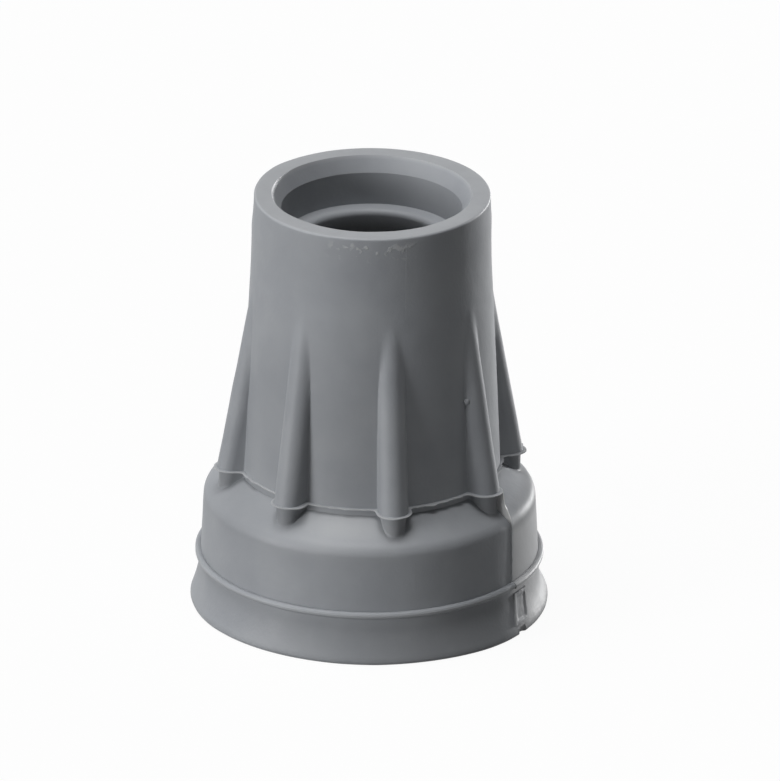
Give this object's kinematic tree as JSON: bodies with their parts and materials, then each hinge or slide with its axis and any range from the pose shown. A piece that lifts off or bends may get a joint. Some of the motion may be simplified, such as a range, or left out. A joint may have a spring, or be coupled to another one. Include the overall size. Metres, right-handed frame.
{
  "type": "rubber cane tip",
  "caption": "Ribbed moulded rubber tip for a walking cane, with a stepped push-on socket above a wide flared base.",
  "frame": {"origin": "middle of the flat sole, on the floor", "axes": "+Z along the cane's axis, up and out of the socket's mouth; one rib faces -Y"},
  "size_m": [0.0444, 0.0444, 0.054],
  "materials": {
    "rubber": "matte grey moulded rubber"
  },
  "bodies": {
    "root": {"rubber_tip": "rubber"}
  },
  "joints": []
}
